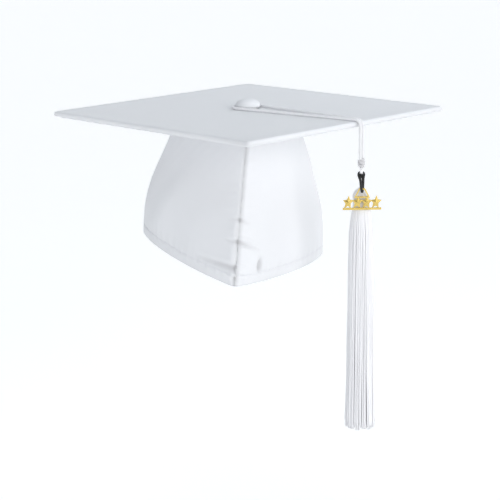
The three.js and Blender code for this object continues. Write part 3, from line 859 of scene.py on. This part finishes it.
# (start, end, width, depth at the start)
CREASES = {
    "left": [
        ((0, 37), (24, 28), 1.8, 3.0),
        ((0, 17), (12, 15), 1.5, 1.2),
        ((0, 8.5), (14, 9.5), 1.4, 1.1),
        ((0, 55), (12, 50), 1.7, 1.2),
    ],
    "right": [
        ((0, 37), (14, 35), 1.8, 1.9),
        ((0, 55), (12, 52), 1.7, 1.2),
        ((0, 15), (46, 11), 3.0, 2.4),
        ((0, 7), (12, 8), 1.4, 0.8),
    ],
}


def front_creases(side, front_gap, rim_gap):
    """The puckers by the lower end of the front seam."""
    place = np.stack([front_gap, rim_gap], -1) / MM

    def puff(at, size, height):
        away = (place - np.array(at)) / np.array(size)
        return height * np.exp(-(away**2).sum(-1))

    def crease(start, end, width, depth):
        a, b = np.array(start, float), np.array(end, float)
        t = np.clip(((place - a) @ (b - a)) / ((b - a) @ (b - a)), 0, 1)
        away = np.linalg.norm(place - (a + t[..., None] * (b - a)), axis=-1) / (width * (1 - 0.4 * t))
        return depth * (1 - t) * (0.4 * bell(away - 2, 1) - bell(away, 1))

    return sum(puff(*p) for p in SEAM_GAPS + PUFFS[side]) + sum(crease(*c) for c in CREASES[side])


# In mm: how far inside the CAD model's outer face each layer lies, and its thickness.
LINING_INSET, LINING_SKIN = 2.9, 0.4
BAND_INSET, BAND_SKIN = 3.6, 0.7
CASING_INSET = 4.8
TAPE_SKIN = 0.5
LINING_APART = 0.1
TAPE_TURNS = {"front": (-0.1, 0.1, 24), "back": (0.94, 1.06, 16)}


def inner_layer(name, nodes, finish, turns, levels, inset, thickness, shape=None, push=0.0):
    """A sheet inside the skull cap, over a range of turns and levels. finish is its material and slot."""
    turn = even_turns(*turns)
    level = np.linspace(*levels)
    points = skull_point(turn[:, None], level[None, :], inset, push)
    uv = np.stack([runs(points, 0), runs(points, 1)], -1)
    if shape is not None:
        lift = shape(uv[..., 0], uv[..., 1], points)
        points = points + normals_of(points) * (lift * MM)[..., None]
    obj = grid_object(name, points, uv)
    solidify(obj, thickness * MM)
    finish_piece(obj, *finish, "cap", nodes)


def slack(across, down, points):
    return 0.25 * smooth_noise(points, 0.04)


def frilled_edge(across, down, points):
    return 0.12 * np.sin(TAU * across / (5 * MM)) * fade(down, 3 * MM)


def gathers(across, down, points):
    return 0.32 * np.sin(TAU * across / (3.1 * MM) + 2 * smooth_noise(points, 0.02))


def skull_lining():
    """The two linings, the sweatband, the gathered casing of the rear elastic, and the seam tapes."""
    buckram, elastic, satin = (BUCKRAM, "buckram"), (ELASTIC, "white_elastic"), (UNDER_SATIN, "satin_cloth")
    for side, first, push in (("left", 0, LINING_APART), ("right", 1, -LINING_APART)):
        name, nodes = "lining_cloth_" + side, ["lining_" + side]
        turns, levels = (first + 0.001, first + 0.999, 90), (0.01, 0.97, 40)
        inner_layer(name, nodes, buckram, turns, levels, LINING_INSET, LINING_SKIN, slack, push)
    turns, levels = (-0.6, 0.6, 160), (0.8, 0.96, 12)
    inner_layer("sweatband_cloth", ["sweatband"], elastic, turns, levels, BAND_INSET, BAND_SKIN, frilled_edge)
    nodes = ["elastic_casing", "rear_elastic"]
    turns, levels = (0.64, 1.36, 420), (0.86, 0.97, 14)
    inner_layer("elastic_casing_cloth", nodes, satin, turns, levels, CASING_INSET, BAND_SKIN, gathers)
    for end, turns in TAPE_TURNS.items():
        levels = (0.04, 0.78, 40)
        inner_layer(end + "_tape_cloth", [end + "_seam_tape"], elastic, turns, levels, BAND_INSET, TAPE_SKIN)


# ---- The covered button ----
BUTTON_SIDES = 144
BUTTON_GATHERS = 26
BUTTON_RIM_R = 0.45 * MM
BUTTON_RAW_EDGE = 8.4 * MM
BUTTON_SKIN = 0.5 * MM


def button_cloth():
    """A dome of cloth drawn tight, gathered under the rim."""
    low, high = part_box("button_cover")
    radius = (high.x - low.x) / 2
    edge_z = low.z + 2 * BUTTON_RIM_R
    rise = high.z - edge_z
    dome = np.linspace(0.04, math.pi / 2, 22)
    profile = [(radius * math.sin(a), edge_z + rise * math.cos(a)) for a in dome]
    profile += arc(radius - BUTTON_RIM_R, low.z + 0.5 * MM, BUTTON_RIM_R, 0, -90, 5)[1:]
    profile += [(r, low.z) for r in np.linspace(radius - 0.6 * MM, BUTTON_RAW_EDGE, 5)]
    r, z = np.array(profile).T
    angle = np.linspace(0, TAU, BUTTON_SIDES, endpoint=False)[:, None]
    level = np.broadcast_to(z, (BUTTON_SIDES, len(z)))
    points = np.stack([np.cos(angle) * r, np.sin(angle) * r, level], -1)
    down = np.linspace(0, 1, len(r))[None, :]
    gather = np.sin(BUTTON_GATHERS * angle + 0.7 * np.sin(3 * angle)) * window(down - 0.45, 0.5)
    lift = 0.16 * gather + 0.05 * smooth_noise(points, 0.012)
    points = points + normals_of(points, wrap=True) * (lift * MM)[..., None]
    from_middle = runs(points, 1)
    uv = np.stack([np.cos(angle) * from_middle, np.sin(angle) * from_middle], -1)
    obj = grid_object("button_cloth", points, uv, wrap=True)
    solidify(obj, BUTTON_SKIN)
    finish_piece(obj, SATIN, "satin_cloth", "cap", ["button_cover"])


# ---- The tassel ----
KNOT_TURNS = 3.4
KNOT_STEPS = 150
KNOT_REACH = 3.2 * MM
KNOT_WRAP_R = 1.08 * MM
KNOT_CORE_R = 1.5 * MM
NECK_R = 1.4 * MM


def around(radius, angle, z):
    """Points round the tassel's axis."""
    radius, angle, z = np.broadcast_arrays(radius, angle, z)
    return np.stack([radius * np.cos(angle), radius * np.sin(angle), z], -1) + TASSEL


def knot():
    """Three wraps of the cord round its own two strands, in a yarn painted darker than the cord's for the
    shade between the wraps.
    """
    middle = (KNOT_LOW + KNOT_HIGH) / 2
    angle = np.linspace(0, KNOT_TURNS * TAU, KNOT_STEPS)
    spread = np.linspace(-1, 1, KNOT_STEPS)
    radius = (2.15 - 0.75 * np.abs(spread) ** 3) * MM
    path = around(radius, angle, middle + spread * KNOT_REACH)
    wraps = tubes_object("knot_wraps", path[None], KNOT_WRAP_R, 14, PLIES, 0.2)
    finish_piece(wraps, SHADED_KNOT_YARN, "rayon_yarn", "knot", ["loop_knot"])
    path = around(0, 0, np.linspace(KNOT_LOW, KNOT_HIGH - 1 * MM, 12))
    core = tubes_object("knot_core", path[None], KNOT_CORE_R, 14, PLIES, 0.2)
    finish_piece(core, SHADED_KNOT_YARN, "rayon_yarn", "knot")


def neck():
    path = around(0, 0, np.linspace(NECK_HIGH, NECK_LOW - 1.5 * MM, 40))
    obj = tubes_object("neck_cord", path[None], NECK_R, 14, PLIES, 0.22)
    finish_piece(obj, CORD_YARN, "rayon_yarn", "tassel", ["tassel_neck"])


HEAD_THREADS = 44
HEAD_STEPS = 22
HEAD_DROPS = (0, 0.9, 2.2, 3.8, 5.6, 7.4)  # levels below the head's top, in mm
HEAD_RADII = np.array([1.5, 2.7, 4.3, 5.6, 6.35, 6.5, 6.2, 5.9]) * MM  # there, and past its lower end


def head_threads():
    """The threads fold over the neck cord, run down over the head and go in under the binding."""
    angle = np.arange(HEAD_THREADS) * TAU / HEAD_THREADS + rng.normal(0, 0.012, HEAD_THREADS)
    levels = [HEAD_HIGH - drop * MM for drop in HEAD_DROPS] + [HEAD_LOW + 1 * MM, HEAD_LOW - 1 * MM]
    run = np.linspace(0, 1, HEAD_STEPS)
    shares = np.linspace(0, 1, len(levels))
    z, r = np.interp(run, shares, levels), np.interp(run, shares, HEAD_RADII)
    path = around(r[None, :], angle[:, None] + 0.25 * run[None, :], z[None, :])
    thick = np.interp(r, np.array([1.5, 4, 6.5]) * MM, np.array([0.3, 0.42, 0.52]) * MM)
    obj = tubes_object("head_threads", path, thick, 8)
    finish_piece(obj, FRINGE_YARN, "rayon_yarn", "tassel", ["tassel_head"])
    core_z = np.linspace(HEAD_HIGH - 0.6 * MM, HEAD_LOW, 14)
    core_r = np.interp(core_z, z[::-1], r[::-1]) - 0.1 * MM
    core = tubes_object("head_core", around(0, 0, core_z)[None], core_r[None], 32)
    finish_piece(core, FRINGE_YARN, "rayon_yarn", "tassel")


BINDING_TURNS = 7
BINDING_THREAD_R = 0.46 * MM
BINDING_R = 6.35 * MM
BINDING_CORE_R = 6.2 * MM


def binding():
    """Thread wound tight round the tassel under its head."""
    angle = np.linspace(0, BINDING_TURNS * TAU, BINDING_TURNS * 40)
    z = np.linspace(BINDING_HIGH - BINDING_THREAD_R, BINDING_LOW + BINDING_THREAD_R, len(angle))
    path = around(BINDING_R + 0.05 * MM * np.sin(angle * 0.9), angle, z)
    obj = tubes_object("binding_thread", path[None], BINDING_THREAD_R, 10)
    finish_piece(obj, CORD_YARN, "rayon_yarn", "tassel", ["head_binding"])
    core_z = np.linspace(BINDING_HIGH - 0.2 * MM, BINDING_LOW + 0.2 * MM, 4)
    core = tubes_object("binding_core", around(0, 0, core_z)[None], BINDING_CORE_R, 32)
    finish_piece(core, FRINGE_YARN, "rayon_yarn", "tassel")


# (share of the outline, threads), from the outside in, each ring behind the gaps of the one before
FRINGE_RINGS = ((1, 62), (0.93, 62), (0.76, 46), (0.58, 34), (0.4, 24), (0.2, 10))
FRINGE_STEPS = 44
OUTLINE_SHARES = (0, 0.02, 0.05, 0.12, 0.4, 0.75, 1.0)
OUTLINE_RADII = (6.0, 6.6, 7.6, 9.0, 10.1, 11.0, 12.1)  # mm
UNEVEN_END = 5 * MM


def fringe():
    """Hanging threads in rings. They bunch into locks and end unevenly."""
    high, low = BINDING_HIGH - 3 * MM, FRINGE_LOW
    share = np.linspace(0, 1, FRINGE_STEPS)
    outline = np.interp(share, OUTLINE_SHARES, OUTLINE_RADII)
    paths, thick = [], []
    for ring, (ring_share, count) in enumerate(FRINGE_RINGS):
        for k in range(count):
            angle = TAU * (k + 0.5 * (ring % 2)) / count + rng.normal(0, 0.03)
            lock = 0.06 * math.sin(angle * 5 + 1.3) + 0.04 * math.sin(angle * 9 + 0.4)
            drift = rng.normal(0, 0.04)
            wave_size = rng.uniform(0.1, 0.45)
            wave_long = rng.uniform(0.7, 1.6)
            phase = rng.uniform(0, TAU)
            end = low + rng.uniform(0, 1) ** 2 * UNEVEN_END
            z = high + (end - high) * share
            radius = outline * ring_share * (1 + rng.normal(0, 0.02) * share)
            turned = angle + (lock + drift) * share
            sway = wave_size * np.sin(share * TAU * wave_long + phase) * window(share, 0.2)
            x = (radius + sway) * np.cos(turned) - 0.35 * sway * np.sin(turned)
            y = (radius + sway) * np.sin(turned) + 0.35 * sway * np.cos(turned)
            paths.append(np.stack([x * MM, y * MM, z], -1) + TASSEL)
            thick.append(np.full(FRINGE_STEPS, rng.uniform(0.56, 0.66) * MM))
    obj = tubes_object("fringe_threads", np.array(paths), np.array(thick), 6)
    finish_piece(obj, FRINGE_YARN, "rayon_yarn", "tassel", ["fringe"])


# ---- The charm ----
CHARM_EDGE = 0.28 * MM
FACET_SHARE = 0.9  # how far the facets reach towards a star's own outline
FACET_FOOT = 0.05 * MM
FACET_PEAK = 0.75 * MM
FACET_BACK = 0.3 * MM


def charm():
    """The CAD model's outline with softened edges, and a raised middle to each star."""
    obj = new_object("gilt_charm", NODES["charm"].data.copy())
    add_modifier(obj, "WELD", merge_threshold=0.01 * MM)
    limit = math.radians(35)
    add_modifier(obj, "BEVEL", width=CHARM_EDGE, segments=3, limit_method="ANGLE", angle_limit=limit)
    finish_piece(obj, GOLD, "gilt_metal", "charm", ["charm"])
    for index in range(STAR_COUNT):
        star_facets(index)


def star_facets(index):
    """Ten sloping facets that rise to the middle of a star, on the charm's front."""
    middle = RAIL_TOP + STAR_R * STAR_STRETCH * math.cos(math.pi / STAR_POINTS)
    shift = (index - (STAR_COUNT - 1) / 2) * STAR_PITCH
    outline = []
    for k in range(2 * STAR_POINTS):
        angle = math.pi / 2 + k * math.pi / STAR_POINTS
        radius = FACET_SHARE * STAR_R * (STAR_NOTCH if k % 2 else 1)
        up = STAR_STRETCH * radius * math.sin(angle)
        across = shift + radius * math.cos(angle) + STAR_SLANT * up
        outline.append((across, CHARM_FRONT + FACET_FOOT, middle + up))
    peak = (shift, CHARM_FRONT - FACET_PEAK, middle)
    back = (shift, CHARM_FRONT + FACET_BACK, middle)
    verts = np.array(outline + [peak, back]) + np.array([TASSEL[0], 0, 0])
    ring = range(len(outline))
    faces = [(k, (k + 1) % len(ring), len(ring)) for k in ring]
    faces += [((k + 1) % len(ring), k, len(ring) + 1) for k in ring]
    obj = add_object(f"star_facets_{index + 1}", verts, faces)
    obj.data.polygons.foreach_set("use_smooth", [False] * len(faces))
    finish_piece(obj, GOLD, "gilt_metal", "charm")


ELASTIC_R = 1.08 * MM
HITCH_TURNS = 3
HITCH_R = 1.95 * MM
HITCH_ELASTIC_R = 0.8 * MM
HITCH_LEVELS = (-33.3 * MM, -36.3 * MM)
# From the back of the neck, down to the bail and back, in mm from the tassel's axis.
ELASTIC_POINTS = (
    (0.15, 2.5, -32.9), (1.7, 1.8, -33.2), (2.1, -0.6, -34.4), (1.4, -3.1, -36.6), (1.05, -5.2, -41),
    (0.6, -7.2, -44.9), (0, -9, -46.4), (-0.3, -10.9, -45.4), (-0.8, -10.2, -42.7), (-0.95, -7.6, -39.8),
    (-1.3, -4.6, -37.2), (-2.1, -1.4, -35.0), (-2.0, 0.6, -33.8), (-1.4, 2, -33.1), (-0.15, 2.5, -32.9),
)


def charm_loop():
    """Black elastic, hitched round the tassel's neck and looped through the bail."""
    route = smooth_line(np.array(ELASTIC_POINTS) * MM, 10) + TASSEL
    obj = tubes_object("charm_elastic", route[None], ELASTIC_R, 12)
    finish_piece(obj, BLACK_YARN, "black_elastic", "charm", ["charm_loop"])
    angle = np.linspace(0, HITCH_TURNS * TAU, 110)
    path = around(HITCH_R, angle, np.linspace(*HITCH_LEVELS, len(angle)))
    hitch = tubes_object("elastic_hitch", path[None], HITCH_ELASTIC_R, 12)
    finish_piece(hitch, BLACK_YARN, "black_elastic", "tassel")


def smooth_line(points, steps):
    """A Catmull-Rom line through points."""
    padded = np.concatenate([[2 * points[0] - points[1]], points, [2 * points[-1] - points[-2]]])
    out = []
    for a, b, c, d in zip(padded, padded[1:], padded[2:], padded[3:]):
        square, cube = 2 * a - 5 * b + 4 * c - d, 3 * b - a - 3 * c + d
        for t in np.arange(steps) / steps:
            out.append(0.5 * (2 * b + (c - a) * t + square * t**2 + cube * t**3))
    return np.array(out + [points[-1]])


# ---- CAD nodes that stay ----
def paint_nodes():
    finishes = {
        "board_core": CARD,
        "button_shell": PLASTIC,
        "button_back": PLASTIC,
        "button_rivet": STEEL,
        "button_washer": STEEL,
        "crown_cloth": CROWN_CLOTH,
        "crown_stiffener": CROWN_BUCKRAM,
    }
    for name, material in finishes.items():
        materials = NODES[name].data.materials
        materials.clear()
        materials.append(material)


# ---- Studio ----
WARM, ROSY, COOL = (1, 0.99, 0.98), (1, 0.975, 0.985), (0.86, 0.94, 1)
# name: (where it is, from the cap; how wide it looks, in degrees; strength; colour)
SUNS = {
    "key": ((0.48, -0.87, 0.17), 38, 1.36, WARM),
    "side": ((0.99, -0.10, 0.12), 50, 0.60, WARM),
    "fill": ((-0.92, -0.40, 0.03), 45, 0.19, ROSY),
    "top": ((-0.15, -0.45, 1.0), 50, 0.50, COOL),
}
SOFTBOX_PLACE = (0.55, 0.20, 0.70)
SOFTBOX_SIZE = 0.5
SOFTBOX_POWER = 1.8
SKY = (0.91, 0.95, 1.0, 1)
SKY_STRENGTH = 0.445
SKY_SLOPE = 0.10  # brighter on the cap's left
HORIZON_STRENGTH = 0.48
HORIZON_HEIGHTS = (0.1, 0.4)
FLOOR_SIZE = 300
FLOOR_LEVEL = -0.42
FLOOR_GLOW = 0.31


def add_light(name, kind, towards, strength, colour):
    """A light that shines back at the cap from the direction named."""
    data = bpy.data.lights.new(name, kind)
    data.energy = strength
    data.color = colour
    obj = new_object(name, data)
    obj.rotation_euler = Vector(towards).to_track_quat("Z", "Y").to_euler()
    return obj


def lights():
    for name, (towards, width, strength, colour) in SUNS.items():
        add_light(name, "SUN", towards, strength, colour).data.angle = math.radians(width)
    softbox = add_light("softbox", "AREA", SOFTBOX_PLACE, SOFTBOX_POWER, COOL)
    softbox.data.shape = "DISK"
    softbox.data.size = SOFTBOX_SIZE
    softbox.location = SOFTBOX_PLACE


def sky():
    """An even pale sky, a little brighter on one side and near the horizon."""
    world = bpy.data.worlds.new("studio")
    world.use_nodes = True
    tree = world.node_tree
    place = link(tree, "ShaderNodeTexCoord").outputs["Generated"]
    towards = link(tree, "ShaderNodeSeparateXYZ", {"Vector": place})
    sideways = math_node(tree, "MULTIPLY_ADD", towards.outputs[0], SKY_SLOPE, SKY_STRENGTH)
    horizon = falling(tree, towards.outputs[2], *HORIZON_HEIGHTS, HORIZON_STRENGTH)
    background = tree.nodes["Background"]
    background.inputs["Color"].default_value = SKY
    tree.links.new(math_node(tree, "ADD", sideways, horizon), background.inputs["Strength"])
    bpy.context.scene.world = world


def studio():
    bpy.context.scene.view_settings.view_transform = "Standard"
    lights()
    sky()
    bpy.ops.mesh.primitive_plane_add(size=FLOOR_SIZE, location=(0, 0, FLOOR_LEVEL))
    floor = bpy.context.object
    floor.name = "floor"
    mat, tree, shader = start_material("pale_floor", 0.9)
    tone = mix_colour(tree, noise(tree, object_space(tree), 2.0), grey(0.955), grey(0.97))
    tree.links.new(tone, shader.inputs["Base Color"])
    shader.inputs["Emission Color"].default_value = grey(1)
    shader.inputs["Emission Strength"].default_value = FLOOR_GLOW
    floor.data.materials.append(mat)


camera()
cord()
board_cloth()
under_cloth()
panel_cloth("left", 0, 1)
panel_cloth("right", 1, -1)
skull_lining()
button_cloth()
knot()
neck()
head_threads()
binding()
fringe()
charm()
charm_loop()
paint_nodes()
studio()
